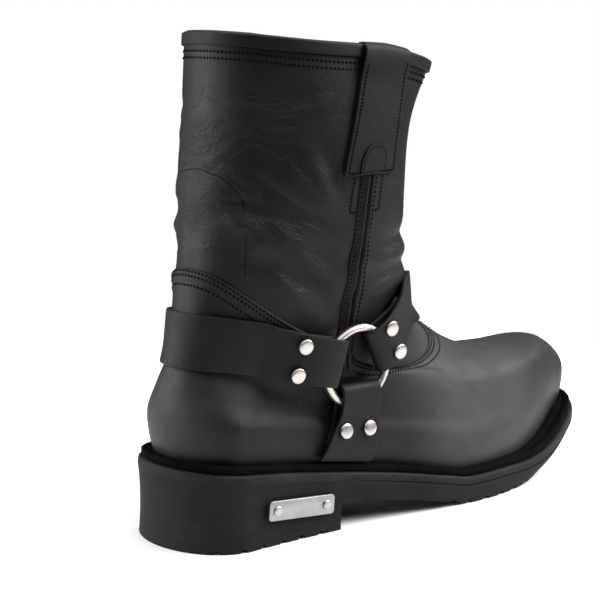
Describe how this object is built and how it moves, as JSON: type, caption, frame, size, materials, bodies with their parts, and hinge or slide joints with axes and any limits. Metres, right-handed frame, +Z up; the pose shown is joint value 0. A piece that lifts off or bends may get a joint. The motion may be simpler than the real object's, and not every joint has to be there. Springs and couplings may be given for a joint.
{
  "type": "harness boot",
  "caption": "Pull-on leather harness boot with ringed ankle straps, wide side pull straps, a stitched welt and a blocked rubber sole and heel.",
  "frame": {"origin": "on the floor, under the middle of the boot's box", "axes": "+X to the toe, +Y to the medial (inner) side, +Z up"},
  "size_m": [0.318, 0.1153, 0.2642],
  "materials": {
    "upper_leather": "soft oiled, matte with a grey sheen",
    "binding_leather": "smooth, rolled",
    "pull_strap_leather": "soft oiled",
    "harness_leather": "firm, smooth",
    "welt_leather": "waxed",
    "insole_board": "matte",
    "midsole_edge": "trimmed, matte",
    "sole_rubber": "matte, finely striated",
    "hardware_nickel": "polished nickel",
    "badge_steel": "bright satin"
  },
  "bodies": {
    "root": {"outsole": "sole_rubber", "heel_block": "sole_rubber", "midsole": "midsole_edge", "insole": "insole_board", "welt": "welt_leather", "upper": "upper_leather", "collar_binding": "binding_leather", "pull_strap_lateral": "pull_strap_leather", "pull_strap_medial": "pull_strap_leather", "pull_tab_lateral": "pull_strap_leather", "pull_tab_medial": "pull_strap_leather", "side_piping_lateral": "binding_leather", "side_piping_medial": "binding_leather", "heel_strap": "harness_leather", "instep_strap": "harness_leather", "sole_strap_lateral": "harness_leather", "sole_strap_medial": "harness_leather", "ring_lateral": "hardware_nickel", "ring_medial": "hardware_nickel", "heel_rivet_low_lateral": "hardware_nickel", "heel_rivet_high_lateral": "hardware_nickel", "instep_rivet_low_lateral": "hardware_nickel", "instep_rivet_high_lateral": "hardware_nickel", "sole_rivet_low_lateral": "hardware_nickel", "sole_rivet_high_lateral": "hardware_nickel", "heel_rivet_low_medial": "hardware_nickel", "heel_rivet_high_medial": "hardware_nickel", "instep_rivet_low_medial": "hardware_nickel", "instep_rivet_high_medial": "hardware_nickel", "sole_rivet_low_medial": "hardware_nickel", "sole_rivet_high_medial": "hardware_nickel", "badge_plate": "badge_steel", "badge_screw_back": "badge_steel", "badge_screw_front": "badge_steel"}
  },
  "joints": []
}
